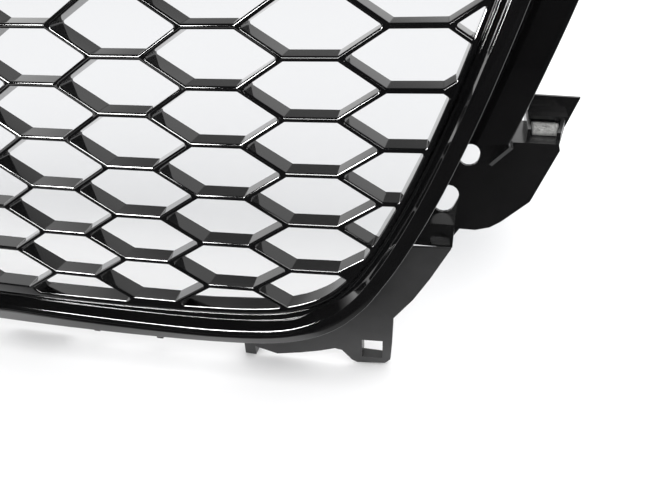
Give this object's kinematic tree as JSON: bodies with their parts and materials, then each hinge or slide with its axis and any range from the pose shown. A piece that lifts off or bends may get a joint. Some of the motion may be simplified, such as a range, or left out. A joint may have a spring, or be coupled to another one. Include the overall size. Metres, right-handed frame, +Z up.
{
  "type": "front grille",
  "caption": "Car front grille: gloss black frame round a honeycomb insert, with rear carrier, side channels, bracket plates, corner flanges and fixing tabs.",
  "frame": {"origin": "middle of the rear part of the underside of the middle top fixing tab", "axes": "+X to the grille's right-hand side as seen from the front, +Y from the front face towards the car, +Z up"},
  "size_m": [0.7638, 0.1405, 0.4483],
  "materials": {
    "gloss_black": "high gloss black",
    "satin_black": "fine-grained satin black",
    "grey_felt": "grey felt",
    "zinc_steel": "zinc-plated steel"
  },
  "bodies": {
    "root": {"honeycomb_insert": "gloss_black", "outer_trim": "gloss_black", "rear_carrier": "satin_black", "side_channel_r": "gloss_black", "side_bracket_r": "satin_black", "corner_flange_r": "satin_black", "felt_pad_r": "grey_felt", "side_channel_l": "gloss_black", "side_bracket_l": "satin_black", "corner_flange_l": "satin_black", "felt_pad_l": "grey_felt", "screw_bottom_1": "zinc_steel", "screw_bottom_2": "zinc_steel", "screw_top_c": "zinc_steel", "screw_corner_l1": "zinc_steel", "screw_corner_r1": "zinc_steel", "screw_corner_l2": "zinc_steel", "screw_corner_r2": "zinc_steel", "screw_side_l1": "zinc_steel", "screw_side_r1": "zinc_steel", "screw_side_l2": "zinc_steel", "screw_side_r2": "zinc_steel", "screw_side_l3": "zinc_steel", "screw_side_r3": "zinc_steel", "screw_top_l": "zinc_steel", "screw_top_r": "zinc_steel", "lower_clip_1": "satin_black", "lower_clip_2": "satin_black", "lower_clip_3": "satin_black", "lower_clip_4": "satin_black", "lower_centre_tab": "satin_black", "upper_mount_l": "satin_black", "upper_mount_r": "satin_black", "upper_mount_c": "satin_black"}
  },
  "joints": []
}
